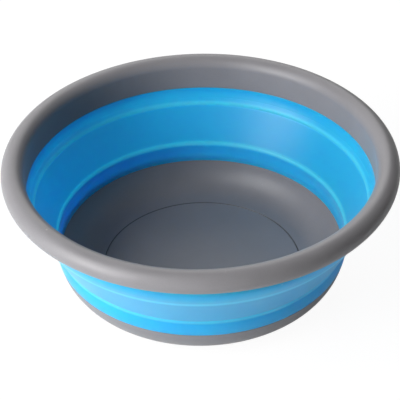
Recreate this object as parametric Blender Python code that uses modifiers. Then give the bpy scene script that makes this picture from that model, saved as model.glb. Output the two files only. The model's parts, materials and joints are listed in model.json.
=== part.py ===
"""Collapsible bowl: a rigid rim with a rolled lip, a soft wall that folds at two hinge lines, and a rigid base tub.

Lengths are in metres, +Z is up, and the origin is the middle of the base's underside. The bowl stands open.
Every piece is turned about the bowl's axis from an outline of (radius, height) points. An outline runs down the
piece's outer side and back up its inner side. The wall is one soft moulding on the product. Here it is divided at
its two hinge lines, so that the conical band between them can turn inside out while the rim slides down.
"""

import math

import bpy

# Rim: a rigid ring whose lip is rolled over, open underneath, with a skirt that the wall is moulded onto
RIM_OUTER_RADIUS = 0.150
ROLL_RADIUS = 0.0085
ROLL_START_ANGLE = math.pi
ROLL_END_ANGLE = math.radians(-32.0)
RIM_WALL = 0.0024
RIM_SKIRT_HEIGHT = 0.0171
RIM_TONGUE = 0.0010
RIM_LAP_HEIGHT = 0.0050

# Wall: soft, thinner on the slope than at the laps, and thinned again to a web at both hinge lines
WALL = 0.0022
SLOPE_WALL = 0.0014
HINGE_WEB = 0.0008
HINGE_GROOVE_WIDTH = 0.0014

# Upper band: upright below the rim, then curving inwards to a raised bead that leans to the upper hinge
UPPER_BAND_HEIGHT = 0.0054
BEND_ROUNDING = 0.0047
BEAD_WIDTH = 0.0055
BEAD_HEIGHT = 0.0006
BEAD_LEAN = 0.65

# Middle band: the cone between the hinges, measured from hinge to hinge on its inner face
MIDDLE_BAND_HEIGHT = 0.0275
MIDDLE_BAND_RUN = 0.0144

# Lower band: below the ridge of the lower hinge, narrowing to the base tub, slightly hollow seen from inside
LOWER_BAND_HEIGHT = 0.0163
LOWER_BAND_TAPER = 0.0020
LOWER_BAND_BULGE = 0.0009
RIDGE_ROUNDING = 0.0015

# Base tub: a rigid dish whose side curves into a flat floor, on a foot ring
TUB_WALL = 0.0022
TUB_SIDE_HEIGHT = 0.0214
TUB_COVE_RADIUS = 0.0270
TUB_LAP_HEIGHT = 0.0037
TUB_LAP_LEG = 0.0009
FLOOR_GROOVE_INSET = 0.0055
FLOOR_GROOVE_WIDTH = 0.0010
FLOOR_GROOVE_DEPTH = 0.0004
FOOT_HEIGHT = 0.0015
FOOT_WIDTH = 0.0050
FOOT_INSET = 0.0076

# Clearance between pieces, at the laps and where the wall is divided at a hinge
SEAT_GAP = 0.0003

# Roundness of the turned pieces
TURN_STEPS = 60
ROLL_STEPS = 14
COVE_STEPS = 8
BAND_STEPS = 5
ROUNDING_STEPS = 3
LIP_STEPS = 3
BEAD_STEPS = 4
SHARP_ANGLE = math.radians(35.0)
MERGE_DISTANCE = 0.00002

# Colours
GREY = (0.232, 0.226, 0.240)
BLUE = (0.004, 0.360, 0.720)
GREY_ROUGHNESS = 0.45
BLUE_ROUGHNESS = 0.38

# Directions and heights that the pieces share
SLOPE = math.atan2(MIDDLE_BAND_RUN, MIDDLE_BAND_HEIGHT)
MIDDLE_BAND_LENGTH = math.hypot(MIDDLE_BAND_RUN, MIDDLE_BAND_HEIGHT)
HALF_GROOVE = HINGE_GROOVE_WIDTH / 2
HALF_GAP = SEAT_GAP / 2
BEND_LENGTH = HALF_GROOVE + BEAD_WIDTH + BEND_ROUNDING
RIDGE_LENGTH = HALF_GROOVE + RIDGE_ROUNDING

FLOOR_HEIGHT = FOOT_HEIGHT + TUB_WALL
TUB_EDGE_HEIGHT = FLOOR_HEIGHT + TUB_SIDE_HEIGHT
RIDGE_HEIGHT = TUB_EDGE_HEIGHT + LOWER_BAND_HEIGHT
LOWER_HINGE_HEIGHT = RIDGE_HEIGHT + RIDGE_LENGTH * math.cos(SLOPE)
UPPER_HINGE_HEIGHT = LOWER_HINGE_HEIGHT + MIDDLE_BAND_HEIGHT
BEND_HEIGHT = UPPER_HINGE_HEIGHT + BEND_LENGTH * math.cos(SLOPE)
RIM_EDGE_HEIGHT = BEND_HEIGHT + UPPER_BAND_HEIGHT
ROLL_HEIGHT = RIM_EDGE_HEIGHT + RIM_SKIRT_HEIGHT

RIM_INNER_RADIUS = RIM_OUTER_RADIUS - 2 * ROLL_RADIUS
UPPER_HINGE_RADIUS = RIM_INNER_RADIUS - BEND_LENGTH * math.sin(SLOPE)
LOWER_HINGE_RADIUS = UPPER_HINGE_RADIUS - MIDDLE_BAND_RUN
RIDGE_RADIUS = LOWER_HINGE_RADIUS - RIDGE_LENGTH * math.sin(SLOPE)
TUB_EDGE_RADIUS = RIDGE_RADIUS - LOWER_BAND_TAPER


def on_circle(centre, radius, angle):
    """The point of a circle at an angle above the outward direction."""
    return (centre[0] + radius * math.cos(angle), centre[1] + radius * math.sin(angle))


def arc(centre, radius, start, end, steps):
    """Points on a circle from one angle to another, both included."""
    return [on_circle(centre, radius, start + (end - start) * step / steps) for step in range(steps + 1)]


def rounded(start, corner, end):
    """A smooth curve from start to end that is pulled towards the corner between them."""
    points = []
    for step in range(ROUNDING_STEPS + 1):
        t = step / ROUNDING_STEPS
        radius, height = ((1 - t) ** 2 * a + 2 * t * (1 - t) * b + t ** 2 * c for a, b, c in zip(start, corner, end))
        points.append((radius, height))
    return points


def cone_point(climb, depth):
    """A point of the wall on the cone's slope: climb is up the slope from the lower hinge, depth is outwards."""
    return (LOWER_HINGE_RADIUS + climb * math.sin(SLOPE) + depth * math.cos(SLOPE),
            LOWER_HINGE_HEIGHT + climb * math.cos(SLOPE) - depth * math.sin(SLOPE))


def lower_band_circle():
    """Centre, radius and end angles of the lower band's inner face, from the tub's edge up to the ridge."""
    chord = math.hypot(LOWER_BAND_TAPER, LOWER_BAND_HEIGHT)
    lean = math.atan2(LOWER_BAND_TAPER, LOWER_BAND_HEIGHT)
    radius = (chord ** 2 / 4 + LOWER_BAND_BULGE ** 2) / (2 * LOWER_BAND_BULGE)
    half_angle = math.asin(chord / 2 / radius)
    middle = ((TUB_EDGE_RADIUS + RIDGE_RADIUS) / 2, (TUB_EDGE_HEIGHT + RIDGE_HEIGHT) / 2)
    reach = radius - LOWER_BAND_BULGE
    centre = (middle[0] - reach * math.cos(lean), middle[1] + reach * math.sin(lean))
    return centre, radius, -lean - half_angle, -lean + half_angle


def lower_band_arc(start_climb, end_climb, depth, steps):
    """Points on the lower band between two distances up from the tub's edge, at a depth from its inner face."""
    centre, radius, edge_angle, _ = lower_band_circle()
    return arc(centre, radius + depth, edge_angle + start_climb / radius, edge_angle + end_climb / radius, steps)


def rim_outline():
    """The rim: a hollow roll that ends in a rounded lip, over a skirt that narrows to a tongue at its inner side."""
    centre = (RIM_OUTER_RADIUS - ROLL_RADIUS, ROLL_HEIGHT)
    lip_centre = on_circle(centre, ROLL_RADIUS - RIM_WALL / 2, ROLL_END_ANGLE)
    lip_end = ROLL_END_ANGLE - math.pi
    shoulder = RIM_EDGE_HEIGHT + RIM_LAP_HEIGHT
    outline = [(RIM_INNER_RADIUS, RIM_EDGE_HEIGHT)]
    outline += arc(centre, ROLL_RADIUS, ROLL_START_ANGLE, ROLL_END_ANGLE, ROLL_STEPS)
    outline += arc(lip_centre, RIM_WALL / 2, ROLL_END_ANGLE, lip_end, LIP_STEPS)[1:-1]
    outline += arc(centre, ROLL_RADIUS - RIM_WALL, ROLL_END_ANGLE, ROLL_START_ANGLE, ROLL_STEPS)
    outline += [
        (RIM_INNER_RADIUS + RIM_WALL, shoulder),
        (RIM_INNER_RADIUS + RIM_TONGUE, shoulder),
        (RIM_INNER_RADIUS + RIM_TONGUE, RIM_EDGE_HEIGHT),
    ]
    return outline


def upper_band_outline():
    """The band from the rim's lap, round the bend and over the bead, to the upper hinge's web."""
    leg = RIM_INNER_RADIUS + RIM_TONGUE + SEAT_GAP
    lap_top = RIM_EDGE_HEIGHT + RIM_LAP_HEIGHT - SEAT_GAP
    seat = RIM_EDGE_HEIGHT - SEAT_GAP
    cut = MIDDLE_BAND_LENGTH + HALF_GAP
    bead_start = MIDDLE_BAND_LENGTH + HALF_GROOVE
    bend_start = bead_start + BEAD_WIDTH
    outside = RIM_INNER_RADIUS + WALL
    outside_bend = BEND_HEIGHT + (WALL * math.cos(SLOPE) - SLOPE_WALL) / math.sin(SLOPE)

    outline = [(leg, lap_top), (outside, lap_top)]
    outline += rounded((outside, outside_bend + BEND_ROUNDING), (outside, outside_bend),
                       cone_point(bend_start, SLOPE_WALL))
    outline += [cone_point(cut, SLOPE_WALL), cone_point(cut, SLOPE_WALL - HINGE_WEB)]

    for step in range(BEAD_STEPS + 1):
        share = step / BEAD_STEPS
        rise = BEAD_HEIGHT * math.sin(math.pi * share ** BEAD_LEAN)
        outline.append(cone_point(bead_start + share * BEAD_WIDTH, -rise))
    outline += rounded(cone_point(bend_start, 0), (RIM_INNER_RADIUS, BEND_HEIGHT),
                       (RIM_INNER_RADIUS, BEND_HEIGHT + BEND_ROUNDING))[1:]
    outline += [(RIM_INNER_RADIUS, seat), (leg, seat)]
    return outline


def middle_band_outline():
    """The cone: its web lies on the outer face at the upper hinge and on the inner face at the lower hinge."""
    top = MIDDLE_BAND_LENGTH - HALF_GAP
    return [
        cone_point(top, SLOPE_WALL),
        cone_point(HALF_GROOVE, SLOPE_WALL),
        cone_point(HALF_GAP, HINGE_WEB),
        cone_point(HALF_GAP, 0),
        cone_point(MIDDLE_BAND_LENGTH - HALF_GROOVE, 0),
        cone_point(top, SLOPE_WALL - HINGE_WEB),
    ]


def lower_band_outline():
    """The band from the lower hinge's web, over the rounded ridge, down to the leg that laps the tub's tongue."""
    _, radius, edge_angle, ridge_angle = lower_band_circle()
    length = radius * (ridge_angle - edge_angle)
    outline = [cone_point(-HALF_GAP, HINGE_WEB)]
    outline += lower_band_arc(length - HALF_GROOVE, TUB_LAP_HEIGHT + SEAT_GAP, WALL, BAND_STEPS)
    outline += lower_band_arc(TUB_LAP_HEIGHT + SEAT_GAP, SEAT_GAP, TUB_LAP_LEG, 1)
    inner = lower_band_arc(SEAT_GAP, length - RIDGE_ROUNDING, 0, BAND_STEPS)
    outline += inner
    outline += rounded(inner[-1], (RIDGE_RADIUS, RIDGE_HEIGHT), cone_point(-HALF_GROOVE, 0))[1:]
    outline.append(cone_point(-HALF_GAP, 0))
    return outline


def tub_outline():
    """The tub: a tongue at its outer side, the curved side, the foot ring, the floor and the groove round it."""
    rise = min(TUB_SIDE_HEIGHT, TUB_COVE_RADIUS)
    side_angle = math.asin((TUB_COVE_RADIUS - rise) / TUB_COVE_RADIUS)
    centre = (TUB_EDGE_RADIUS - TUB_COVE_RADIUS * math.cos(side_angle), FLOOR_HEIGHT + TUB_COVE_RADIUS)
    down = -math.pi / 2
    groove = centre[0] - FLOOR_GROOVE_INSET
    foot_outside = centre[0] - FOOT_INSET
    foot_inside = foot_outside - FOOT_WIDTH

    outline = lower_band_arc(TUB_LAP_HEIGHT, TUB_LAP_HEIGHT / 2, TUB_WALL, 1)
    outline += arc(centre, TUB_COVE_RADIUS + TUB_WALL, -side_angle, down, COVE_STEPS)
    outline += [
        (foot_outside, FOOT_HEIGHT),
        (foot_outside, 0),
        (foot_inside, 0),
        (foot_inside, FOOT_HEIGHT),
        (0, FOOT_HEIGHT),
        (0, FLOOR_HEIGHT),
        (groove - FLOOR_GROOVE_WIDTH / 2, FLOOR_HEIGHT),
        (groove, FLOOR_HEIGHT - FLOOR_GROOVE_DEPTH),
        (groove + FLOOR_GROOVE_WIDTH / 2, FLOOR_HEIGHT),
    ]
    outline += arc(centre, TUB_COVE_RADIUS, down, -side_angle, COVE_STEPS)
    if TUB_SIDE_HEIGHT > rise:
        outline.append((TUB_EDGE_RADIUS, TUB_EDGE_HEIGHT))
    outline += lower_band_arc(0, TUB_LAP_HEIGHT, TUB_LAP_LEG + SEAT_GAP, 1)
    return outline


def plastic(name, colour, roughness):
    """A plain moulded plastic."""
    material = bpy.data.materials.new(name)
    material.use_nodes = True
    shader = material.node_tree.nodes["Principled BSDF"]
    shader.inputs["Base Color"].default_value = (*colour, 1.0)
    shader.inputs["Roughness"].default_value = roughness
    shader.inputs["Metallic"].default_value = 0.0
    return material


def turned_piece(name, outline, seat, material, parent, collection):
    """Turns an outline about the axis. The piece's origin lies on the axis at the height where it seats."""
    profile = bpy.data.meshes.new(name + "_outline")
    count = len(outline)
    edges = [(i, (i + 1) % count) for i in range(count)]
    profile.from_pydata([(radius, 0, height - seat) for radius, height in outline], edges, [])
    piece = bpy.data.objects.new(name, profile)
    collection.objects.link(piece)

    screw = piece.modifiers.new("Turn", "SCREW")
    screw.axis = "Z"
    screw.angle = 2 * math.pi
    screw.steps = TURN_STEPS
    screw.render_steps = TURN_STEPS
    screw.use_merge_vertices = True
    screw.merge_threshold = MERGE_DISTANCE
    evaluated = piece.evaluated_get(bpy.context.evaluated_depsgraph_get())
    piece.data = bpy.data.meshes.new_from_object(evaluated)
    piece.modifiers.clear()
    bpy.data.meshes.remove(profile)

    piece.data.name = name
    piece.data.shade_smooth()
    piece.data.set_sharp_from_angle(angle=SHARP_ANGLE)
    piece.data.materials.append(material)
    piece.parent = parent
    piece.location = (0, 0, seat - parent.location.z)
    return piece


def body_frame(name, height, collection):
    """An empty on the bowl's axis that carries the pieces of one body."""
    frame = bpy.data.objects.new(name, None)
    frame.empty_display_size = RIM_OUTER_RADIUS
    frame.location = (0, 0, height)
    collection.objects.link(frame)
    return frame


def build():
    """Clears the scene and makes the bowl."""
    for old in list(bpy.data.objects):
        bpy.data.objects.remove(old, do_unlink=True)
    bowl = bpy.data.collections.new("collapsible_bowl")
    bpy.context.scene.collection.children.link(bowl)

    grey = plastic("grey_polypropylene", GREY, GREY_ROUGHNESS)
    blue = plastic("blue_elastomer", BLUE, BLUE_ROUGHNESS)
    base = body_frame("base_frame", 0, bowl)
    rim = body_frame("rim_frame", RIM_EDGE_HEIGHT, bowl)

    turned_piece("base_tub", tub_outline(), 0, grey, base, bowl)
    turned_piece("lower_fold_band", lower_band_outline(), TUB_EDGE_HEIGHT, blue, base, bowl)
    turned_piece("middle_fold_band", middle_band_outline(), LOWER_HINGE_HEIGHT, blue, base, bowl)
    turned_piece("upper_fold_band", upper_band_outline(), RIM_EDGE_HEIGHT, blue, rim, bowl)
    turned_piece("rim_ring", rim_outline(), RIM_EDGE_HEIGHT, grey, rim, bowl)


build()
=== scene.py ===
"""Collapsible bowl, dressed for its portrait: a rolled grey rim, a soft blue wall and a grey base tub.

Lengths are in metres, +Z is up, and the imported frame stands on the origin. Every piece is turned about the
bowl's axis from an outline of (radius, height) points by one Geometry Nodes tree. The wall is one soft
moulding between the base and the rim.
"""

import json
import math
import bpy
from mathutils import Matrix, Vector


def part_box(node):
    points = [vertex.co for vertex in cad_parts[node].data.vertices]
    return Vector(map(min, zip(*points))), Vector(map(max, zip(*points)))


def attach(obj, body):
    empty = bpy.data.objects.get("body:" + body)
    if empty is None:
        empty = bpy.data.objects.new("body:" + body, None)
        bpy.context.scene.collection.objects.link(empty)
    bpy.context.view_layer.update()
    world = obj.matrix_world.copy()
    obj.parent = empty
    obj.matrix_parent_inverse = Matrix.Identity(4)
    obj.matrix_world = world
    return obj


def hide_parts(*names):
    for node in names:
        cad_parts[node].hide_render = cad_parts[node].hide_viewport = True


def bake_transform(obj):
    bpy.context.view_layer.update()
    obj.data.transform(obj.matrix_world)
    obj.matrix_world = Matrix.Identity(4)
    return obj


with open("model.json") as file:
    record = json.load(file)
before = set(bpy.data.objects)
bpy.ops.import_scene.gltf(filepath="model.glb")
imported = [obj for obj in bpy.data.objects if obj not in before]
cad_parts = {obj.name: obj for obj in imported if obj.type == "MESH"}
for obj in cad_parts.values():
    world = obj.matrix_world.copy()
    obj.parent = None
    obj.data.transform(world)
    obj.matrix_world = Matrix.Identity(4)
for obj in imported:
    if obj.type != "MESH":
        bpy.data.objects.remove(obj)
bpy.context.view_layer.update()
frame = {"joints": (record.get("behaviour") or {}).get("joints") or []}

from types import SimpleNamespace

import bmesh
import bpy
from bpy.props import FloatProperty, FloatVectorProperty, IntProperty, PointerProperty
from mathutils import Matrix, Vector

bl_info = {
    "name": "Collapsible Bowl",
    "version": (1, 0, 0),
    "blender": (4, 5, 0),
    "location": "3D View > Sidebar > Bowl",
    "description": "Makes a bowl with a rolled rim, a folding wall and a base tub, and a studio round it",
    "category": "Object",
}

# Places read from the frame
RIM_LOW, RIM_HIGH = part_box("rim_ring")
FOLD = frame["joints"][0]
LOWER_HINGE_HEIGHT = FOLD["deforming_nodes"][0]["fixed_end_z_m"]

# How finely the outlines and the turning are divided
SEGMENTS = 240
CORNER_STEPS = 5
ROLL_STEPS = 56
COVE_STEPS = 36
BEND_STEPS = 10
BEAD_STEPS = 20
LONGEST_WALL_EDGE = 0.0010
LONGEST_RIGID_EDGE = 0.0040
WELD_DISTANCE = 0.000002
SHARP_ANGLE = math.radians(42.0)

# In cuts from a rounded corner: where the flat beside it has its last point, and how near others come
CORNER_REACH = 2
CORNER_ROOM = 2.5

# Small forms of the wall: half a crease's width for its depth, and the power that eases the bead's sides
CREASE_SPREAD = 3
BEAD_EASE = 1.5

# How the wall stands out of true: the noise's scale on a circle of radius 1, and the radius that stays true
UNEVENNESS_SCALE = 2.2
TRUE_RADIUS = 0.001

# Where a glow is painted along the wall's hinge lines: a share of the way down to the ridge, and a share of
# the bead's width up
LOWER_GLOW = 0.40
UPPER_GLOW = 0.24

# The rest place of each point, kept on the mesh so that the wall's finish folds with it
MOULDED_AT = "moulded_at"

# Where a colour Mix node keeps its factor, its two colours and its result
MIX_FACTOR, MIX_LOW, MIX_HIGH, MIX_RESULT = 0, 6, 7, 2

# Which part of each noise makes the grain, the clouds, the rubbed patches, the scratches and the dusty cells
GRAIN_RANGE = (0.35, 0.65)
CLOUD_RANGE = (0.30, 0.70)
RUB_RANGE = (0.50, 0.72)
SCRATCH_RANGE = (0.66, 0.74)
DUSTY_RANGE = (0.80, 1.00)

# The scratches' two ways, each with its turn and its thinness, and the share that shows outside the patches
SCRATCH_WAYS = (("One way", 0.6, 34.0), ("Other way", -0.9, 26.0))
STRAY_SCRATCHES = 0.15

# How far pits deepen the grain, and a speck's largest radius and the width of its edge, as shares of its cell
PIT_DEPTH = 0.5
SPECK_RADIUS = 0.11
SPECK_EDGE = 0.03

# The looks of the rigid plastic and the soft wall. Scales are per metre, and lines, fades and distances
# are in metres. Tones multiply the plastic's colour, and shares weaken a mask.
RIGID = SimpleNamespace(
    shader={"IOR": 1.49, "Sheen Weight": 0.15, "Sheen Roughness": 0.45},
    grain_scale=1900.0, cloud_scale=22.0, scuff_scale=16.0, dust_scale=75.0,
    cloud_tones=(0.94, 1.05), grain_tone=1.25, grain_share=0.25,
    scuff_tone=1.5, scuff_lift=0.05, scuff_share=0.5, dust_colour=(0.62, 0.61, 0.60, 1.0),
    satin_change=(-0.04, 0.06), rub_roughness=0.10, scuff_roughness=0.15,
    scratch_depth=0.8, bump_strength=0.18, bump_distance=0.00012,
    # Painted shade: the groove's line in the tub floor is darkened to the groove tone
    groove_shade_tone=0.35, groove_shade_line=(0.0003, 0.0008),
    ring_scale=900.0, ring_height=0.6, ring_fade=0.004,
)
SOFT = SimpleNamespace(
    shader={"IOR": 1.5, "Specular IOR Level": 0.3, "Sheen Weight": 0.2, "Sheen Roughness": 0.4,
            "Subsurface Weight": 1.0, "Subsurface Radius": (0.08, 0.80, 0.80), "Subsurface Scale": 0.0062},
    grain_scale=1500.0, cloud_scale=14.0, scuff_scale=11.0, dust_scale=110.0,
    cloud_tones=(0.95, 1.04),
    scuff_tone=1.2, scuff_lift=0.08, scuff_share=0.25, dust_colour=(0.45, 0.56, 0.66, 1.0),
    satin_change=(-0.04, 0.05), rub_roughness=0.12,
    bump_strength=0.12, bump_distance=0.0001,
    # Painted shade: the thin slope between the hinges is darkened by the slope tone
    slope_shade_tone=0.90, slope_fade=0.004,
    # Painted shade: a deeper blue where the thin leg of the wall laps over the tub's tongue
    lap_shade_colour=(0.03, 0.40, 1.0, 1.0), lap_fade=(-0.001, 0.002),
    # Painted light: a lighter blue glows along the hinge lines
    painted_glow_colour=(0.08, 0.60, 1.0, 1.0), glow_share=0.9, glow_line=(0.0006, 0.0026),
)

# How white the floor is where the camera sees it, and how white floor and surroundings are where mirrored
FLOOR_WHITENESS = 0.89
MIRRORED_WHITENESS = 0.15

# The studio: the floor's colour, the strength of the white over it, and sizes in metres but for the sensor
WHITE = (1.0, 1.0, 1.0, 1.0)
FLOOR_COLOUR = (0.93, 0.93, 0.93, 1.0)
FLOOR_WHITE_STRENGTH = 1.06
FLOOR_RADIUS = 6.0
FLOOR_SIDES = 64
FLOOR_DROP = 0.00005
LAMP_DISTANCE = 1.8
SENSOR_MILLIMETRES = 36.0

# Each lamp's bearing and rise in degrees, and its size
LAMPS = {
    "key": (55.0, 16.0, 1.0),
    "high": (60.0, 42.0, 1.1),
    "back": (178.0, 34.0, 1.2),
    "corner": (135.0, 28.0, 1.2),
    "side": (-115.0, 30.0, 1.2),
}


# Settings

def length(name, text, default):
    """A length setting in metres."""
    return FloatProperty(name=name, description=text, default=default, min=0.0, precision=5, unit="LENGTH")


def angle(name, text, degrees):
    """An angle setting, given here in degrees."""
    return FloatProperty(name=name, description=text, default=math.radians(degrees), unit="ROTATION")


def share(name, text, default):
    """A setting from 0 to 1."""
    return FloatProperty(name=name, description=text, default=default, min=0.0, max=1.0, subtype="FACTOR")


def power(name, text, default):
    """A lamp's power in watts."""
    return FloatProperty(name=name, description=text, default=default, min=0.0, unit="POWER")


def paint(name, text, default):
    """A colour setting in linear light."""
    return FloatVectorProperty(name=name, description=text, default=default, size=3, min=0.0, max=1.0,
                               subtype="COLOR")


class RimSettings(bpy.types.PropertyGroup):
    """Sizes of the rolled rim."""
    outer_radius: length("Outer Radius", "From the axis to the outside of the roll", RIM_HIGH.x)
    roll_radius: length("Roll Radius", "Outer radius of the roll's section", 0.0085)
    roll_end: angle("Roll End", "Where the roll stops, below the outward direction", -32.0)
    wall: length("Wall", "Thickness of the rim's plastic", 0.0024)
    tongue: length("Tongue", "Thickness of the tongue behind the soft wall", 0.0010)
    lap_height: length("Lap Height", "How far the soft wall laps up the tongue", 0.0050)
    edge_drop: length("Edge Drop", "How far the lower edge stands below the plain rim's", 0.0013)
    edge_cut: length("Edge Cut", "How far the lower edge is rounded", 0.0007)


class WallSettings(bpy.types.PropertyGroup):
    """Sizes of the soft folding wall."""
    thickness: length("Thickness", "Thickness at the laps", 0.0022)
    slope_thickness: length("Slope Thickness", "Thickness on the slope", 0.0014)
    web: length("Hinge Web", "Thickness left at the lower hinge line", 0.0008)
    groove: length("Hinge Groove", "Width of the groove outside the lower hinge line", 0.0014)
    bend_rounding: length("Bend Rounding", "How far the bend under the upright band is rounded", 0.0047)
    bead_width: length("Bead Width", "From the upper hinge up the slope to the bead's top side", 0.0062)
    bead_height: length("Bead Height", "Height of the raised bead", 0.00035)
    bead_lean: share("Bead Lean", "1 has the bead's crest in its middle, and less nearer the hinge", 0.65)
    crease: length("Crease Depth", "Depth of the fine creases beside the bead and above the ridge", 0.00008)
    cone_height: length("Cone Height", "Height of the cone between the hinges", 0.0275)
    cone_run: length("Cone Run", "How far the cone narrows between the hinges", 0.0144)
    lower_taper: length("Lower Taper", "How far the lower band narrows to the tub", 0.0011)
    lower_bulge: length("Lower Bulge", "How far the lower band's inner face is hollowed", 0.0009)
    ridge_rounding: length("Ridge Rounding", "How far the ridge under the lower hinge is rounded", 0.0015)
    ridge_drop: length("Ridge Drop", "From the lower hinge down the slope to the ridge", 0.0041)
    ridge_crease: length("Ridge Crease", "From the lower hinge down to the crease above the ridge", 0.0013)
    edge_cut: length("Edge Cut", "How far the edges are rounded at the seams", 0.00035)
    seam: length("Seam", "Gap between the wall and the rigid pieces", 0.00006)
    unevenness: length("Unevenness", "How far the soft wall stands out of true", 0.00014)
    seed: IntProperty(name="Seed", description="Which unevenness the wall has", default=7, min=0)


class TubSettings(bpy.types.PropertyGroup):
    """Sizes of the base tub."""
    wall: length("Wall", "Thickness of the tub's plastic", 0.0022)
    side_height: length("Side Height", "From the floor up to the soft wall", 0.0214)
    cove_radius: length("Cove Radius", "Radius of the curve from the side to the floor", 0.0270)
    lap_height: length("Lap Height", "How far the soft wall laps down inside the tongue", 0.0037)
    lap_leg: length("Lap Leg", "Thickness of the soft wall's leg inside the tongue", 0.0014)
    groove_inset: length("Groove Inset", "From the start of the curve in to the floor's groove", 0.0055)
    groove_width: length("Groove Width", "Width of the groove round the floor", 0.0010)
    groove_depth: length("Groove Depth", "Depth of the groove round the floor", 0.0006)
    foot_height: length("Foot Height", "Height of the foot ring", 0.0015)
    foot_width: length("Foot Width", "Width of the foot ring", 0.0050)
    foot_inset: length("Foot Inset", "From the start of the curve in to the foot ring", 0.0076)
    edge_cut: length("Edge Cut", "How far the edges are rounded", 0.0005)


class FinishSettings(bpy.types.PropertyGroup):
    """Colours and surface of the two plastics."""
    # Painted light and shade: one grey plastic, painted lighter on the rim and darker in the tub
    rim_grey_painted_light: paint("Rim Grey", "Colour of the rim", (0.256, 0.249, 0.262))
    tub_grey_painted_shade: paint("Tub Grey", "Colour of the base tub", (0.228, 0.222, 0.234))
    blue: paint("Blue", "Colour of the soft wall", (0.024, 0.445, 0.870))
    grey_roughness: share("Grey Roughness", "Roughness of the rigid plastic", 0.42)
    blue_roughness: share("Blue Roughness", "Roughness of the soft plastic", 0.36)
    scuffs: share("Scuffs", "How far handling has scuffed the rigid plastic", 0.35)
    dust: share("Dust", "How much dust lies on the plastics", 0.30)


class StudioSettings(bpy.types.PropertyGroup):
    """The camera and the light."""
    camera_distance: length("Camera Distance", "From the camera to the point that it looks at", 0.9966)
    camera_tilt: angle("Camera Tilt", "How far down the camera looks", 36.87)
    camera_roll: angle("Camera Roll", "How far the camera is turned about its own axis", -1.2126)
    camera_side: FloatProperty(name="Camera Side", description="How far the camera stands to the right",
                               default=-0.00075, precision=5, unit="LENGTH")
    look_height: length("Look Height", "Height of the point that the camera looks at", 0.0654)
    lens: FloatProperty(name="Lens", description="Focal length of the camera", default=115.9, min=1.0,
                        subtype="DISTANCE_CAMERA", unit="CAMERA")
    key_power: power("Key Power", "Power of the large low lamp at the front left", 25.0)
    high_power: power("High Power", "Power of the lamp above the key lamp", 20.5)
    back_power: power("Back Power", "Power of the lamp behind the bowl", 9.0)
    corner_power: power("Corner Power", "Power of the lamp at the back left", 4.5)
    side_power: power("Side Power", "Power of the lamp at the right", 1.8)
    surround: share("Surround", "Brightness of the white surroundings as they light the bowl", 0.03)


# Outlines

def on_circle(centre, radius, turn):
    """The point of a circle at an angle above the outward direction."""
    return (centre[0] + radius * math.cos(turn), centre[1] + radius * math.sin(turn))


def arc(centre, radius, start, end, steps):
    """Points on a circle from one angle to another, both included."""
    return [on_circle(centre, radius, start + (end - start) * step / steps) for step in range(steps + 1)]


def rounded(start, corner, end, steps):
    """A smooth curve from start to end that is pulled towards the corner between them."""
    points = []
    for step in range(steps + 1):
        t = step / steps
        weights = ((1 - t) ** 2, 2 * t * (1 - t), t ** 2)
        pulls = list(zip(weights, (start, corner, end)))
        points.append(tuple(sum(weight * point[axis] for weight, point in pulls) for axis in (0, 1)))
    return points


def softened(corners):
    """An outline with its corners rounded. Each corner is a point and how far back both its sides are cut.

    A point stands at each side of a rounded corner, so that the flat beside it shades flat.
    """
    outline = []
    for index, (point, cut) in enumerate(corners):
        if not cut:
            outline.append(tuple(point))
            continue
        here = Vector(point)
        back = (Vector(corners[index - 1][0]) - here).normalized() * cut
        ahead = (Vector(corners[(index + 1) % len(corners)][0]) - here).normalized() * cut
        outline.append(tuple(here + CORNER_REACH * back))
        outline += rounded(here + back, here, here + ahead, CORNER_STEPS)
        outline.append(tuple(here + CORNER_REACH * ahead))
    return outline


def divided(outline, longest, closed):
    """The outline with each edge that is longer than the longest wanted cut into equal parts."""
    points = []
    ends = outline[1:] + outline[:1] if closed else outline[1:]
    for start, end in zip(outline, ends):
        parts = max(1, math.ceil(math.dist(start, end) / longest))
        run, climb = end[0] - start[0], end[1] - start[1]
        points += [(start[0] + run * part / parts, start[1] + climb * part / parts) for part in range(parts)]
    if not closed:
        points.append(outline[-1])
    return points


def sharp(points):
    """Points of an outline that stay as they are, in the form that softened takes."""
    return [(point, 0.0) for point in points]


def bowl_places(scene):
    """The heights and radii that the pieces share, worked out from their settings and the frame."""
    rim, wall, tub = scene.bowl_rim, scene.bowl_wall, scene.bowl_tub
    at = SimpleNamespace(rim=rim, wall=wall, tub=tub)
    at.slope = math.atan2(wall.cone_run, wall.cone_height)
    at.cone_length = math.hypot(wall.cone_run, wall.cone_height)
    at.bend_start = at.cone_length + wall.bead_width
    bend_length = wall.bead_width + wall.bend_rounding

    at.rim_inner = rim.outer_radius - 2 * rim.roll_radius
    at.rim_edge = RIM_LOW.z - rim.edge_drop
    at.seat = at.rim_edge - wall.seam
    at.hinge_low = (at.rim_inner - bend_length * math.sin(at.slope) - wall.cone_run, LOWER_HINGE_HEIGHT)
    at.bend_height = LOWER_HINGE_HEIGHT + wall.cone_height + bend_length * math.cos(at.slope)
    at.ridge = cone_point(at, -wall.ridge_drop, 0.0)
    at.floor = tub.foot_height + tub.wall
    at.tub_edge = (at.ridge[0] - wall.lower_taper, at.floor + tub.side_height)
    at.tub_top = at.tub_edge[1] + tub.lap_height
    at.band = lower_band_circle(at)
    rise = min(tub.side_height, tub.cove_radius)
    at.side_angle = math.asin((tub.cove_radius - rise) / tub.cove_radius)
    at.cove = (at.tub_edge[0] - tub.cove_radius * math.cos(at.side_angle), at.floor + tub.cove_radius)
    at.groove = at.cove[0] - tub.groove_inset
    return at


def cone_point(at, climb, depth):
    """A point of the wall on the cone's slope: climb is up it from the lower hinge, and depth is outwards."""
    return (at.hinge_low[0] + climb * math.sin(at.slope) + depth * math.cos(at.slope),
            at.hinge_low[1] + climb * math.cos(at.slope) - depth * math.sin(at.slope))


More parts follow.
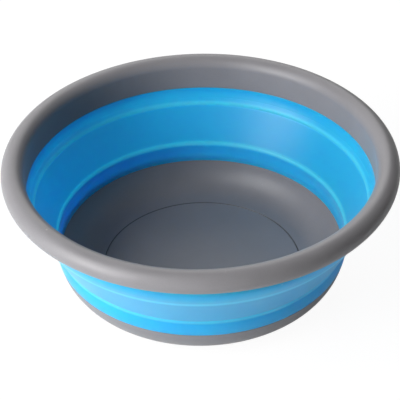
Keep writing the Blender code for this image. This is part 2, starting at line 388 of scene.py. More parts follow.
def lower_band_circle(at):
    """The circle of the lower band's inner face, and the face's length from the tub's edge to the ridge."""
    wall = at.wall
    rise = at.ridge[1] - at.tub_edge[1]
    chord = math.hypot(wall.lower_taper, rise)
    lean = math.atan2(wall.lower_taper, rise)
    radius = (chord ** 2 / 4 + wall.lower_bulge ** 2) / (2 * wall.lower_bulge)
    half_angle = math.asin(chord / 2 / radius)
    start = -lean - half_angle
    reach = radius - wall.lower_bulge
    centre = ((at.tub_edge[0] + at.ridge[0]) / 2 - reach * math.cos(lean),
              (at.tub_edge[1] + at.ridge[1]) / 2 + reach * math.sin(lean))
    return SimpleNamespace(centre=centre, radius=radius, start=start, length=2 * half_angle * radius)


def band_point(at, climb, depth):
    """A point of the lower band: climb is up from the tub's edge, and depth outwards from its inner face."""
    band = at.band
    return on_circle(band.centre, band.radius + depth, band.start + climb / band.radius)


def band_points(at, start_climb, end_climb, depth):
    """Points of the lower band from one climb to another, at one depth."""
    band = at.band
    turns = [band.start + climb / band.radius for climb in (start_climb, end_climb)]
    return arc(band.centre, band.radius + depth, *turns, BEND_STEPS)


def rim_outline(scene):
    """The rim: a hollow roll with a rounded lip, over a skirt that narrows to a tongue at its inner side."""
    at = bowl_places(scene)
    rim = at.rim
    centre = (rim.outer_radius - rim.roll_radius, RIM_HIGH.z - rim.roll_radius)
    lip_centre = on_circle(centre, rim.roll_radius - rim.wall / 2, rim.roll_end)
    lip = arc(lip_centre, rim.wall / 2, rim.roll_end, rim.roll_end - math.pi, 2 * CORNER_STEPS)
    shoulder = at.rim_edge + rim.lap_height
    corners = [((at.rim_inner, at.rim_edge), rim.edge_cut)]
    corners += sharp(arc(centre, rim.roll_radius, math.pi, rim.roll_end, ROLL_STEPS))
    corners += sharp(lip[1:-1])
    corners += sharp(arc(centre, rim.roll_radius - rim.wall, rim.roll_end, math.pi, ROLL_STEPS))
    corners += [
        ((at.rim_inner + rim.wall, shoulder), rim.edge_cut / 2),
        ((at.rim_inner + rim.tongue, shoulder), 0.0),
        ((at.rim_inner + rim.tongue, at.rim_edge), rim.edge_cut / 3),
    ]
    return divided(softened(corners), LONGEST_RIGID_EDGE, True)


def wall_outside(at):
    """The wall's outer side, down from the bend and over the hinge groove to just above the tub's lap."""
    wall = at.wall
    outside = at.rim_inner + wall.thickness
    drop = (wall.slope_thickness - wall.thickness * math.cos(at.slope)) / math.sin(at.slope)
    bend_height = at.bend_height - drop
    half_groove = wall.groove / 2
    groove_cut = half_groove / 4
    lap = at.tub.lap_height + wall.seam
    corners = sharp(rounded((outside, bend_height + wall.bend_rounding), (outside, bend_height),
                            cone_point(at, at.bend_start, wall.slope_thickness), BEND_STEPS))
    corners += [
        (cone_point(at, half_groove, wall.slope_thickness), groove_cut),
        (cone_point(at, 0.0, wall.web), groove_cut),
        (cone_point(at, -half_groove, wall.slope_thickness), groove_cut),
        (band_point(at, at.band.length - half_groove, wall.thickness), wall.edge_cut),
    ]
    corners += sharp(band_points(at, at.band.length - wall.groove, lap + CORNER_REACH * wall.edge_cut,
                                 wall.thickness))
    return corners


def wall_foot(at):
    """The wall's foot: the step on top of the tub's tongue, and the leg inside it, down to the tub's edge."""
    wall, tub = at.wall, at.tub
    lap = tub.lap_height + wall.seam
    return [
        (band_point(at, lap, wall.thickness), wall.edge_cut),
        (band_point(at, lap, tub.lap_leg), 0.0),
        (band_point(at, wall.seam, tub.lap_leg), 0.0),
        (band_point(at, wall.seam, 0.0), wall.edge_cut),
    ]


def crease_points(at, climb):
    """A fine crease across the slope's inner face, at a distance up from the lower hinge."""
    depth = at.wall.crease
    spread = CREASE_SPREAD * depth
    return [cone_point(at, climb + side * spread, down) for side, down in ((-1, 0.0), (0, depth), (1, 0.0))]


def bead_points(at):
    """The raised bead inside the wall, from just above the upper hinge to the bead's top side."""
    wall = at.wall
    points = []
    for step in range(1, BEAD_STEPS + 1):
        part = step / BEAD_STEPS
        height = wall.bead_height * math.sin(math.pi * part ** wall.bead_lean) ** BEAD_EASE
        points.append(cone_point(at, at.cone_length + part * wall.bead_width, -height))
    return points


def wall_inside(at):
    """The wall's inner side: lower band, ridge, slope, bead and the bend to the upright band."""
    wall = at.wall
    band_end = at.band.length - wall.ridge_rounding
    slope_start = cone_point(at, wall.ridge_rounding - wall.ridge_drop, 0.0)
    points = band_points(at, wall.seam + CORNER_REACH * wall.edge_cut, band_end, 0.0)
    points += rounded(points.pop(), at.ridge, slope_start, BEND_STEPS)
    points += crease_points(at, -wall.ridge_crease)
    points += crease_points(at, at.cone_length - CREASE_SPREAD * wall.crease)
    points += bead_points(at)
    points.append(cone_point(at, at.bend_start + wall.crease, wall.crease))
    bend = rounded(cone_point(at, at.bend_start, 0.0), (at.rim_inner, at.bend_height),
                   (at.rim_inner, at.bend_height + wall.bend_rounding), BEND_STEPS)
    points += [point for point in bend[1:] if point[1] < at.seat - CORNER_ROOM * wall.edge_cut]
    return sharp(points)


def wall_outline(scene):
    """The soft wall in one piece: outer side down from the rim's lap, inner side up from the tub's lap."""
    at = bowl_places(scene)
    rim, wall = at.rim, at.wall
    leg = at.rim_inner + rim.tongue + wall.seam
    lap_top = at.rim_edge + rim.lap_height - wall.seam
    corners = [((leg, lap_top), wall.edge_cut / 2), ((at.rim_inner + wall.thickness, lap_top), wall.edge_cut)]
    corners += wall_outside(at) + wall_foot(at) + wall_inside(at)
    corners += [((at.rim_inner, at.seat), wall.edge_cut), ((leg, at.seat), 0.0)]
    return divided(softened(corners), LONGEST_WALL_EDGE, True)


def tub_outline(scene):
    """The tub, from its underside's middle, over the foot ring and up its side, to the floor's middle."""
    at = bowl_places(scene)
    wall, tub = at.wall, at.tub
    down = -math.pi / 2
    foot_outside = at.cove[0] - tub.foot_inset
    foot_inside = foot_outside - tub.foot_width
    half_width = tub.groove_width / 2
    groove_cut = half_width / 3
    inner_leg = tub.lap_leg + wall.seam

    corners = [
        ((0.0, tub.foot_height), 0.0),
        ((foot_inside, tub.foot_height), tub.edge_cut / 2),
        ((foot_inside, 0.0), tub.edge_cut),
        ((foot_outside, 0.0), tub.edge_cut),
        ((foot_outside, tub.foot_height), tub.edge_cut / 2),
    ]
    corners += sharp(arc(at.cove, tub.cove_radius + tub.wall, down, -at.side_angle, COVE_STEPS))
    corners += [
        (band_point(at, tub.lap_height, tub.wall), tub.edge_cut),
        (band_point(at, tub.lap_height, inner_leg), tub.edge_cut / 3),
        (band_point(at, 0.0, inner_leg), 0.0),
        (at.tub_edge, tub.edge_cut),
    ]
    corners += sharp(arc(at.cove, tub.cove_radius, -at.side_angle, down, COVE_STEPS)[1:])
    corners += [
        ((at.groove + half_width, at.floor), groove_cut),
        ((at.groove, at.floor - tub.groove_depth), groove_cut),
        ((at.groove - half_width, at.floor), groove_cut),
        ((0.0, at.floor), 0.0),
    ]
    return divided(softened(corners), LONGEST_RIGID_EDGE, False)


# Node helpers

def add_node(tree, kind, label, values=None, **settings):
    """A node with its settings, and its inputs linked where the value is a socket and set where it isn't."""
    node = tree.nodes.new(kind)
    node.label = label
    for name, value in settings.items():
        setattr(node, name, value)
    for socket, value in (values or {}).items():
        if isinstance(value, bpy.types.NodeSocket):
            tree.links.new(value, node.inputs[socket])
        else:
            node.inputs[socket].default_value = value
    return node


def math_node(tree, kind, label, *values, clamp=False):
    """A Math node's result."""
    node = add_node(tree, "ShaderNodeMath", label, dict(enumerate(values)), operation=kind, use_clamp=clamp)
    return node.outputs[0]


def product(tree, label, first, second, clamp=False):
    """Two values multiplied."""
    return math_node(tree, "MULTIPLY", label, first, second, clamp=clamp)


def mixed_colour(tree, label, mask, low, high, most=None):
    """Low where the mask is 0, and high where it is 1, or the given share of the way to high."""
    if most is not None:
        mask = product(tree, label + " share", mask, most)
    values = {MIX_FACTOR: mask, MIX_LOW: low, MIX_HIGH: high}
    return add_node(tree, "ShaderNodeMix", label, values, data_type="RGBA").outputs[MIX_RESULT]


def mapped(tree, label, value, source, result=(0.0, 1.0), smooth=False):
    """A value moved from the source range to the result range and held inside it."""
    ends = {"From Min": source[0], "From Max": source[1], "To Min": result[0], "To Max": result[1]}
    kind = "SMOOTHSTEP" if smooth else "LINEAR"
    node = add_node(tree, "ShaderNodeMapRange", label, {"Value": value, **ends}, interpolation_type=kind)
    return node.outputs["Result"]


def line_mask(tree, label, value, middle, fade):
    """1 where a value is close to the middle one, fading to 0 between the fade's two distances from it."""
    side = math_node(tree, "SUBTRACT", label + " side", value, middle)
    off = math_node(tree, "ABSOLUTE", label + " off", side)
    return mapped(tree, label, off, fade, (1.0, 0.0), smooth=True)


def noise(tree, label, where, scale, detail, roughness=0.5, distortion=0.0):
    """The value of a noise at a place."""
    values = {"Scale": scale, "Detail": detail, "Roughness": roughness, "Distortion": distortion}
    return add_node(tree, "ShaderNodeTexNoise", label, {"Vector": where, **values}).outputs["Fac"]


def split(tree, label, vector):
    """The X, Y and Z of a vector."""
    return add_node(tree, "ShaderNodeSeparateXYZ", label, {"Vector": vector}).outputs


def joined(tree, label, x, y, z=0.0):
    """The vector of an X, a Y and a Z."""
    return add_node(tree, "ShaderNodeCombineXYZ", label, {"X": x, "Y": y, "Z": z}).outputs["Vector"]


# Turning

def outline_sheet(tree, given, place):
    """A sheet with a column for each step round and a row for each outline point.

    It comes with each of its points' turn about the axis, and the radius and height read from the outline.
    """
    outline = {"Geometry": given["Outline"]}
    count = add_node(tree, "GeometryNodeAttributeDomainSize", "Outline points", outline)
    points = count.outputs["Point Count"]
    columns = math_node(tree, "ADD", "Columns", given["Segments"], 1.0)
    rows = math_node(tree, "ADD", "Rows", points, given["Closed"])
    sheet = add_node(tree, "GeometryNodeMeshGrid", "Sheet",
                     {"Size X": 1.0, "Size Y": 1.0, "Vertices X": columns, "Vertices Y": rows})

    on_sheet = split(tree, "On the sheet", place)
    share_round = math_node(tree, "ADD", "Share round", on_sheet["X"], 0.5)
    turn = product(tree, "Turn", share_round, math.tau)
    last_row = math_node(tree, "SUBTRACT", "Last row", rows, 1.0)
    share_along = math_node(tree, "ADD", "Share along", on_sheet["Y"], 0.5)
    row_place = math_node(tree, "MULTIPLY_ADD", "Row place", share_along, last_row, 0.5)
    row = math_node(tree, "MODULO", "Outline point", math_node(tree, "FLOOR", "Row", row_place), points)
    sampled = add_node(tree, "GeometryNodeSampleIndex", "Read outline",
                       {**outline, "Value": place, "Index": row}, data_type="FLOAT_VECTOR")
    profile = split(tree, "Radius and height", sampled.outputs[0])
    return sheet.outputs["Mesh"], turn, profile["X"], profile["Z"]


def out_of_true(tree, given, across, along, height):
    """How far a point stands out of true: most in the middle of the free height, and nothing at its ends."""
    waves = add_node(tree, "ShaderNodeTexNoise", "Out of true",
                     {"Vector": joined(tree, "On a circle", across, along, height), "W": given["Seed"],
                      "Scale": UNEVENNESS_SCALE, "Detail": 1.0}, noise_dimensions="4D")
    free = mapped(tree, "Free height", height, (given["Free From"], given["Free To"]))
    held = math_node(tree, "SUBTRACT", "Held at top", 1.0, free)
    # The product of the two shares is a quarter at its highest
    window = product(tree, "Free in the middle", product(tree, "Loose", free, held), 4.0)
    swing = math_node(tree, "MULTIPLY_ADD", "Swing", waves.outputs["Fac"], 2.0, -1.0)
    size = product(tree, "Size", swing, given["Unevenness"])
    return product(tree, "Offset", size, window)


def turning_tree():
    """A Geometry Nodes tree that turns an outline of (radius, height) points about the bowl's axis."""
    tree = bpy.data.node_groups.new("Turn Outline", "GeometryNodeTree")
    sockets = {"Outline": "Geometry", "Segments": "Int", "Closed": "Bool", "Unevenness": "Float",
               "Free From": "Float", "Free To": "Float", "Seed": "Int", "Weld Distance": "Float",
               "Material": "Material"}
    for name, kind in sockets.items():
        tree.interface.new_socket(name, in_out="INPUT", socket_type="NodeSocket" + kind)
    tree.interface.new_socket("Piece", in_out="OUTPUT", socket_type="NodeSocketGeometry")
    given = add_node(tree, "NodeGroupInput", "Sizes").outputs

    place = add_node(tree, "GeometryNodeInputPosition", "Place").outputs["Position"]
    sheet, turn, radius, height = outline_sheet(tree, given, place)
    across = math_node(tree, "COSINE", "Across", turn)
    along = math_node(tree, "SINE", "Along", turn)
    offset = out_of_true(tree, given, across, along, height)
    off_axis = math_node(tree, "GREATER_THAN", "Not the middle", radius, TRUE_RADIUS)
    offset = product(tree, "Off the axis", offset, off_axis)
    radius = math_node(tree, "ADD", "Radius", radius, offset)
    turned = joined(tree, "Turned place", product(tree, "X", radius, across),
                    product(tree, "Y", radius, along), height)

    piece = sheet
    for kind, label, values, settings in (
        ("GeometryNodeSetPosition", "Turn", {"Position": turned}, {}),
        ("GeometryNodeStoreNamedAttribute", "Keep rest place", {"Name": MOULDED_AT, "Value": place},
         {"data_type": "FLOAT_VECTOR", "domain": "POINT"}),
        ("GeometryNodeMergeByDistance", "Weld seam", {"Distance": given["Weld Distance"]}, {}),
        ("GeometryNodeRealizeInstances", "Make real", {}, {}),
        ("GeometryNodeSetMaterial", "Dress", {"Material": given["Material"]}, {}),
    ):
        piece = add_node(tree, kind, label, {"Geometry": piece, **values}, **settings).outputs["Geometry"]
    add_node(tree, "NodeGroupOutput", "Piece", {"Piece": piece})
    return tree


def placed_object(name, data):
    """A new object of the scene, with its data."""
    item = bpy.data.objects.new(name, data)
    bpy.context.scene.collection.objects.link(item)
    return item


def turned_piece(name, outline, material, closed=True, unevenness=0.0, free=(0.0, 1.0), seed=0):
    """Turns an outline into a plain mesh piece with the tree, with its faces pointing outwards."""
    tree = bpy.data.node_groups.get("Turn Outline") or turning_tree()
    profile = bpy.data.meshes.new(name + "_outline")
    edges = [(index, index + 1) for index in range(len(outline) - 1)]
    profile.from_pydata([(radius, 0.0, height) for radius, height in outline], edges, [])
    piece = placed_object(name, profile)

    turning = piece.modifiers.new("Turn", "NODES")
    turning.node_group = tree
    values = {"Segments": SEGMENTS, "Closed": closed, "Unevenness": unevenness, "Free From": free[0],
              "Free To": free[1], "Seed": seed, "Weld Distance": WELD_DISTANCE, "Material": material}
    for socket in tree.interface.items_tree:
        if socket.in_out == "INPUT" and socket.name in values:
            turning[socket.identifier] = values[socket.name]
    evaluated = piece.evaluated_get(bpy.context.evaluated_depsgraph_get())
    mesh = bpy.data.meshes.new_from_object(evaluated)
    piece.modifiers.clear()
    piece.data = mesh
    bpy.data.meshes.remove(profile)

    shell = bmesh.new()
    shell.from_mesh(mesh)
    bmesh.ops.recalc_face_normals(shell, faces=shell.faces)
    shell.to_mesh(mesh)
    shell.free()
    mesh.name = name
    mesh.shade_smooth()
    mesh.set_sharp_from_angle(angle=SHARP_ANGLE)
    return piece


# Finishes

def new_group(name, build, inputs):
    """A shader node group with a Vector input, float inputs, and an output for each result of its builder."""
    group = bpy.data.node_groups.new(name, "ShaderNodeTree")
    for label in inputs:
        kind = "NodeSocketVector" if label == "Vector" else "NodeSocketFloat"
        group.interface.new_socket(label, in_out="INPUT", socket_type=kind)
    results = build(group, add_node(group, "NodeGroupInput", "Given").outputs)
    for label in results:
        group.interface.new_socket(label, in_out="OUTPUT", socket_type="NodeSocketFloat")
    add_node(group, "NodeGroupOutput", "Result", results)
    return group


def placed_group(tree, name, build, values):
    """A shader group placed in a material with its own values, and built where no material has it yet."""
    group = bpy.data.node_groups.get(name) or new_group(name, build, values)
    return add_node(tree, "ShaderNodeGroup", name, values, node_tree=group).outputs


def moulded_grain(group, given):
    """Fine eroded grain of the mould, and the cloudy difference in tone that moulded plastic has."""
    place, grain_scale = given["Vector"], given["Grain Scale"]
    fine = noise(group, "Fine grain", place, grain_scale, detail=3.0, roughness=0.6)
    pits = add_node(group, "ShaderNodeTexVoronoi", "Eroded pits", {"Vector": place, "Scale": grain_scale})
    cloud = noise(group, "Cloud", place, given["Cloud Scale"], detail=4.0, roughness=0.55, distortion=0.4)
    height = math_node(group, "MULTIPLY_ADD", "Grain height", pits.outputs["Distance"], PIT_DEPTH, fine)
    grain = mapped(group, "Grain tone", fine, GRAIN_RANGE)
    clouds = mapped(group, "Cloud tone", cloud, CLOUD_RANGE, smooth=True)
    return {"Height": height, "Grain": grain, "Cloud": clouds}


def handling_scuffs(group, given):
    """Short fine scratches in two directions, gathered in patches, from handling and stacking."""
    patches = noise(group, "Patches", given["Vector"], given["Scale"], detail=2.0)
    rub = mapped(group, "Rubbed patches", patches, RUB_RANGE, smooth=True)
    scratch_sets = []
    for label, turn, stretch in SCRATCH_WAYS:
        turned = add_node(group, "ShaderNodeMapping", label + " turned",
                          {"Vector": given["Vector"], "Rotation": (turn, turn / 2, turn),
                           "Scale": (stretch, 1.0, stretch)})
        lines = noise(group, label, turned.outputs["Vector"], given["Scale"], detail=3.0, roughness=0.7)
        scratch_sets.append(mapped(group, label + " lines", lines, SCRATCH_RANGE))
    scratches = math_node(group, "MAXIMUM", "Scratches", *scratch_sets)
    where = math_node(group, "ADD", "Mostly in patches", rub, STRAY_SCRATCHES)
    gathered = product(group, "Gathered", scratches, where)
    scuffs = product(group, "Scuffs", gathered, given["Amount"], clamp=True)
    rubbed = product(group, "Rub", rub, given["Amount"], clamp=True)
    return {"Scuffs": scuffs, "Rub": rubbed}


def dust_specks(group, given):
    """A few small specks of dust and lint."""
    places = add_node(group, "ShaderNodeTexVoronoi", "Speck places",
                      {"Vector": given["Vector"], "Scale": given["Scale"]}).outputs
    pick = add_node(group, "ShaderNodeSeparateColor", "Picked", {"Color": places["Color"]})
    size = mapped(group, "Speck size", pick.outputs["Red"], DUSTY_RANGE, (0.0, SPECK_RADIUS))
    close = math_node(group, "SUBTRACT", "Inside the speck", size, places["Distance"])
    dot = mapped(group, "Speck", close, (0.0, SPECK_EDGE))
    return {"Specks": product(group, "Specks", dot, given["Amount"], clamp=True)}


def tinted(tone, factor, lift=0.0):
    """A colour made lighter or darker, and lifted towards white, with alpha."""
    return tuple(min(1.0, channel * factor + lift) for channel in tone) + (1.0,)


def new_plastic(name, look):
    """A new material with its tree and its shader, which has the look's plain values."""
    material = bpy.data.materials.new(name)
    material.use_nodes = True
    shader = material.node_tree.nodes["Principled BSDF"]
    for socket, value in look.shader.items():
        shader.inputs[socket].default_value = value
    return material, material.node_tree, shader


def plastic_surface(tree, place, look, tone, roughness, scuffs, dust):
    """What both plastics show: grain, wear and dust, and a colour and a roughness that change in clouds."""
    grain = placed_group(tree, "Moulded Grain", moulded_grain,
                         {"Vector": place, "Grain Scale": look.grain_scale, "Cloud Scale": look.cloud_scale})
    wear = placed_group(tree, "Handling Scuffs", handling_scuffs,
                        {"Vector": place, "Scale": look.scuff_scale, "Amount": scuffs})
    specks = placed_group(tree, "Dust Specks", dust_specks,
                          {"Vector": place, "Scale": look.dust_scale, "Amount": dust})
    darker, lighter = (tinted(tone, factor) for factor in look.cloud_tones)
    colour = mixed_colour(tree, "Cloudy tone", grain["Cloud"], darker, lighter)
    ends = [roughness + change for change in look.satin_change]
    satin = mapped(tree, "Satin", grain["Cloud"], (0.0, 1.0), ends)
    return SimpleNamespace(grain=grain["Grain"], height=grain["Height"], scuffs=wear["Scuffs"],
                           rub=wear["Rub"], dust=specks["Specks"], colour=colour, satin=satin)


def worn_colour(tree, clean, tone, look, on):
    """A clean colour under the pale scuffs and the dust that lie on it."""
    pale = tinted(tone, look.scuff_tone, look.scuff_lift)
    scuffed = mixed_colour(tree, "Scuffed", on.scuffs, clean, pale, look.scuff_share)
    return mixed_colour(tree, "Dusty", on.dust, scuffed, look.dust_colour)


def dress_surface(tree, shader, look, colour, roughness, height):
    """Links a plastic's colour and roughness to its shader, and its height as bump."""
    bump = add_node(tree, "ShaderNodeBump", "Surface",
                    {"Height": height, "Strength": look.bump_strength, "Distance": look.bump_distance})
    tree.links.new(colour, shader.inputs["Base Color"])
    tree.links.new(roughness, shader.inputs["Roughness"])
    tree.links.new(bump.outputs["Normal"], shader.inputs["Normal"])


def wiped_floor(tree, place, groove_radius):
    """The line of the groove round the floor, which is darkened with painted shade, and the height of the
    fine rings of wiping inside it.
    """
    parts = split(tree, "Split", place)
    flat = joined(tree, "Flat", parts["X"], parts["Y"])
    from_axis = add_node(tree, "ShaderNodeVectorMath", "From the axis", {0: flat}, operation="LENGTH")
    radius = from_axis.outputs["Value"]
    rings = add_node(tree, "ShaderNodeTexNoise", "Rings",
                     {"W": radius, "Scale": RIGID.ring_scale, "Detail": 2.0}, noise_dimensions="1D")
    inside = mapped(tree, "On the floor", radius, (groove_radius, groove_radius - RIGID.ring_fade),
                    (0.0, RIGID.ring_height))
    line = line_mask(tree, "Groove line", radius, groove_radius, RIGID.groove_shade_line)
    return line, product(tree, "Ring height", rings.outputs["Fac"], inside)


def rigid_plastic(name, grey, finish, groove_radius=0.0):
    """Satin grey polypropylene with mould grain, cloudy tone, scuffs and a little dust.

    Where a groove radius is given, painted shade darkens that groove, and fine rings of wiping are added
    inside it.
    """
    material, tree, shader = new_plastic(name, RIGID)
    place = add_node(tree, "ShaderNodeTexCoord", "Place").outputs["Object"]
    on = plastic_surface(tree, place, RIGID, grey, finish.grey_roughness, finish.scuffs, finish.dust)

    speckles = tinted(grey, RIGID.grain_tone)
    speckled = mixed_colour(tree, "Grain tone", on.grain, on.colour, speckles, RIGID.grain_share)
    colour = worn_colour(tree, speckled, grey, RIGID, on)
    rubbed = math_node(tree, "MULTIPLY_ADD", "Rubbed", on.rub, RIGID.rub_roughness, on.satin)
    rough = math_node(tree, "MULTIPLY_ADD", "Roughness", on.scuffs, RIGID.scuff_roughness, rubbed, clamp=True)
    height = math_node(tree, "MULTIPLY_ADD", "Scratched grain", on.scuffs, -RIGID.scratch_depth, on.height)
    if groove_radius:
        line, ring_height = wiped_floor(tree, place, groove_radius)
        # Painted shade in the floor's groove
        colour = mixed_colour(tree, "Groove shade", line, colour, tinted(grey, RIGID.groove_shade_tone))
        height = math_node(tree, "ADD", "Wiped grain", height, ring_height)
    dress_surface(tree, shader, RIGID, colour, rough, height)
    return material


def soft_elastomer(name, finish, glow_heights, tub_top):
    """Soft blue elastomer, with a painted glow along the glow heights, painted shade on the thin slope, and a
    deeper blue of painted shade below the top of the tub's tongue.

    It lets light through, and has half of the scuffs and dust of the rigid plastic.
    """
    material, tree, shader = new_plastic(name, SOFT)
    blue = finish.blue
    place = add_node(tree, "ShaderNodeAttribute", "Rest place", attribute_name=MOULDED_AT).outputs["Vector"]
    on = plastic_surface(tree, place, SOFT, blue, finish.blue_roughness, finish.scuffs / 2, finish.dust / 2)
    height = split(tree, "Rest height", place)["Z"]

    low, high = glow_heights
    foot = mapped(tree, "Foot of the slope", height, (low, low + SOFT.slope_fade), smooth=True)
    head = mapped(tree, "Head of the slope", height, (high - SOFT.slope_fade, high), (1.0, 0.0), smooth=True)
    slope = product(tree, "Slope", foot, head)
    lap_ends = [tub_top + fade for fade in SOFT.lap_fade]
    lap = mapped(tree, "Lap", height, lap_ends, (1.0, 0.0), smooth=True)
    glows = [line_mask(tree, "Glow line", height, glow, SOFT.glow_line) for glow in glow_heights]
    glow = math_node(tree, "MAXIMUM", "Both glows", *glows)

    # Painted shade on the thin slope between the hinges
    slope_shaded = mixed_colour(tree, "Thin slope", slope, on.colour, tinted(blue, SOFT.slope_shade_tone))
    # Painted shade: a deeper blue over the tub's tongue
    lap_shaded = mixed_colour(tree, "Over the tub", lap, slope_shaded, SOFT.lap_shade_colour)
    # Painted light: a lighter blue glow along the hinge lines
    glowing = mixed_colour(tree, "Glow", glow, lap_shaded, SOFT.painted_glow_colour, SOFT.glow_share)
    colour = worn_colour(tree, glowing, blue, SOFT, on)
    rough = math_node(tree, "MULTIPLY_ADD", "Roughness", on.rub, SOFT.rub_roughness, on.satin, clamp=True)
    dress_surface(tree, shader, SOFT, colour, rough, on.height)
    return material


# Studio

def softbox(name, bearing, rise, size, watts):
    """A square lamp that looks at the bowl from a bearing, clockwise from the front seen from above."""
    light = bpy.data.lights.new(name, "AREA")
    light.shape = "SQUARE"
    light.size = size
    light.energy = watts
    lamp = placed_object(name, light)
    bearing, rise = math.radians(bearing), math.radians(rise)
    away = Vector((-math.sin(bearing) * math.cos(rise), -math.cos(bearing) * math.cos(rise), math.sin(rise)))
    lamp.location = away * LAMP_DISTANCE
    lamp.rotation_euler = (-away).to_track_quat("-Z", "Y").to_euler()


def ray_kinds(tree):
    """Which kind of ray it is, and how white a mirrored one finds what it meets."""
    path = add_node(tree, "ShaderNodeLightPath", "Which ray").outputs
    return path, product(tree, "Mirrored", path["Is Glossy Ray"], MIRRORED_WHITENESS)


def white_surroundings(surround):
    """A world that looks white and lights the bowl more softly."""
    world = bpy.data.worlds.new("white_surroundings")
    world.use_nodes = True
    tree = world.node_tree
    tree.nodes.clear()
    path, mirrored = ray_kinds(tree)
    seen = math_node(tree, "MAXIMUM", "Seen or mirrored", path["Is Camera Ray"], mirrored)
    shown = math_node(tree, "MAXIMUM", "Or through glass", seen, path["Is Transmission Ray"])
    lighting = add_node(tree, "ShaderNodeBackground", "Light", {"Color": WHITE, "Strength": surround})
    white = add_node(tree, "ShaderNodeBackground", "White", {"Color": WHITE, "Strength": 1.0})
    mixed = add_node(tree, "ShaderNodeMixShader", "Surroundings",
                     {0: shown, 1: lighting.outputs[0], 2: white.outputs[0]})
    add_node(tree, "ShaderNodeOutputWorld", "World", {"Surface": mixed.outputs[0]})
    bpy.context.scene.world = world


def floor_material():
    """A pale floor that keeps the bowl's shadow, under the white that the camera sees."""
    material = bpy.data.materials.new("pale_floor")
    material.use_nodes = True
    tree = material.node_tree
    tree.nodes.clear()
    path, mirrored = ray_kinds(tree)
    cover = math_node(tree, "MULTIPLY_ADD", "Cover", path["Is Camera Ray"], FLOOR_WHITENESS, mirrored)
    lit = add_node(tree, "ShaderNodeBsdfDiffuse", "Lit floor", {"Color": FLOOR_COLOUR})
    white = add_node(tree, "ShaderNodeEmission", "White", {"Color": WHITE, "Strength": FLOOR_WHITE_STRENGTH})
    mixed = add_node(tree, "ShaderNodeMixShader", "Floor", {0: cover, 1: lit.outputs[0], 2: white.outputs[0]})
    add_node(tree, "ShaderNodeOutputMaterial", "Surface", {"Surface": mixed.outputs[0]})
    return material


def pale_floor():
    """A wide pale floor just under the bowl, which meets the white surroundings."""
    sheet = bmesh.new()
    bmesh.ops.create_circle(sheet, cap_ends=True, segments=FLOOR_SIDES, radius=FLOOR_RADIUS)
    mesh = bpy.data.meshes.new("floor")
    sheet.to_mesh(mesh)
    sheet.free()
    mesh.materials.append(floor_material())
    floor = placed_object("floor", mesh)
    floor.location.z = -FLOOR_DROP


def portrait_camera(studio):
    """The camera, which looks down at the bowl from the front and is turned a little about its own axis."""
    camera = placed_object("camera", bpy.data.cameras.new("camera"))
    camera.data.lens = studio.lens
    camera.data.sensor_width = SENSOR_MILLIMETRES
    look_at = Vector((studio.camera_side, 0.0, studio.look_height))
    away = Vector((0.0, -math.cos(studio.camera_tilt), math.sin(studio.camera_tilt)))
    turned = (-away).to_track_quat("-Z", "Y").to_matrix() @ Matrix.Rotation(studio.camera_roll, 3, "Z")
    camera.matrix_world = Matrix.Translation(look_at + away * studio.camera_distance) @ turned.to_4x4()
    bpy.context.scene.camera = camera


# Operators

class MakeRim(bpy.types.Operator):
    """Make the rolled rim in place of the plain rim ring"""
    bl_idname = "bowl.make_rim"
    bl_label = "Make Rim"

    def execute(self, context):
        finish = context.scene.bowl_finish
        # The rim's grey carries painted light
        material = rigid_plastic("rim_polypropylene", finish.rim_grey_painted_light, finish)
        rim = turned_piece("rolled_rim", rim_outline(context.scene), material)
        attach(rim, "rim")
        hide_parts("rim_ring")
        return {"FINISHED"}


class MakeFoldingWall(bpy.types.Operator):
    """Make the soft wall in one piece, between the base and the rim"""
    bl_idname = "bowl.make_folding_wall"
    bl_label = "Make Folding Wall"

    def execute(self, context):
        scene = context.scene
        at = bowl_places(scene)
        wall = at.wall
        low = LOWER_HINGE_HEIGHT
        high = low + wall.cone_height
        glows = (low - LOWER_GLOW * wall.ridge_drop, high + UPPER_GLOW * wall.bead_width)
        material = soft_elastomer("wall_elastomer", scene.bowl_finish, glows, at.tub_top)
        piece = turned_piece("folding_wall", wall_outline(scene), material, unevenness=wall.unevenness,
                             free=(at.tub_top, at.rim_edge), seed=wall.seed)
        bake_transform(piece)
        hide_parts("upper_fold_band", "middle_fold_band", "lower_fold_band")
        return {"FINISHED"}


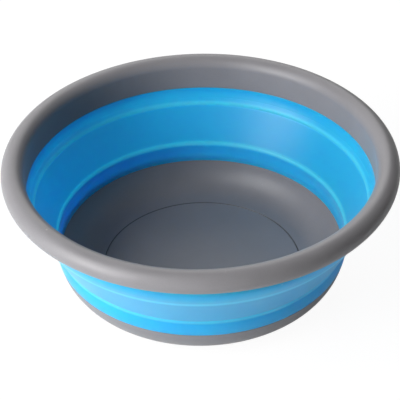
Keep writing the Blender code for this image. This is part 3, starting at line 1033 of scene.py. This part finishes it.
class MakeBaseTub(bpy.types.Operator):
    """Make the rigid base tub in place of the plain one"""
    bl_idname = "bowl.make_base_tub"
    bl_label = "Make Base Tub"

    def execute(self, context):
        scene = context.scene
        finish = scene.bowl_finish
        # The tub's grey carries painted shade
        material = rigid_plastic("tub_polypropylene", finish.tub_grey_painted_shade, finish, bowl_places(scene).groove)
        tub = turned_piece("moulded_tub", tub_outline(scene), material, closed=False)
        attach(tub, "base")
        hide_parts("base_tub")
        return {"FINISHED"}


class MakeStudio(bpy.types.Operator):
    """Make the pale floor, the soft light and the camera"""
    bl_idname = "bowl.make_studio"
    bl_label = "Make Studio"

    def execute(self, context):
        studio = context.scene.bowl_studio
        white_surroundings(studio.surround)
        pale_floor()
        for name, (bearing, rise, size) in LAMPS.items():
            softbox(name + "_lamp", bearing, rise, size, getattr(studio, name + "_power"))
        portrait_camera(studio)
        context.scene.view_settings.view_transform = "Standard"
        return {"FINISHED"}


class BowlPanel(bpy.types.Panel):
    """The bowl's settings, with a button for each piece"""
    bl_idname = "VIEW3D_PT_bowl"
    bl_label = "Collapsible Bowl"
    bl_space_type = "VIEW_3D"
    bl_region_type = "UI"
    bl_category = "Bowl"

    def draw(self, context):
        for name, settings, operator in ROWS:
            box = self.layout.box()
            group = getattr(context.scene, name)
            for setting in settings.__annotations__:
                box.prop(group, setting)
            if operator:
                box.operator(operator.bl_idname)


# Each group of settings: its name on the scene, its class, and the operator whose button stands under it
ROWS = (
    ("bowl_rim", RimSettings, MakeRim),
    ("bowl_wall", WallSettings, MakeFoldingWall),
    ("bowl_tub", TubSettings, MakeBaseTub),
    ("bowl_finish", FinishSettings, None),
    ("bowl_studio", StudioSettings, MakeStudio),
)
CLASSES = (*(row[1] for row in ROWS), MakeRim, MakeFoldingWall, MakeBaseTub, MakeStudio, BowlPanel)


def register():
    """Registers the classes, and gives each scene the bowl's settings."""
    for cls in CLASSES:
        bpy.utils.register_class(cls)
    for name, settings, _ in ROWS:
        setattr(bpy.types.Scene, name, PointerProperty(type=settings))


def unregister():
    """Takes the settings and the classes away again."""
    for name, _, _ in ROWS:
        delattr(bpy.types.Scene, name)
    for cls in reversed(CLASSES):
        bpy.utils.unregister_class(cls)


def main():
    """Makes the studio and the pieces."""
    register()
    bpy.ops.bowl.make_studio()
    bpy.ops.bowl.make_base_tub()
    bpy.ops.bowl.make_folding_wall()
    bpy.ops.bowl.make_rim()


if __name__ == "__main__":
    main()
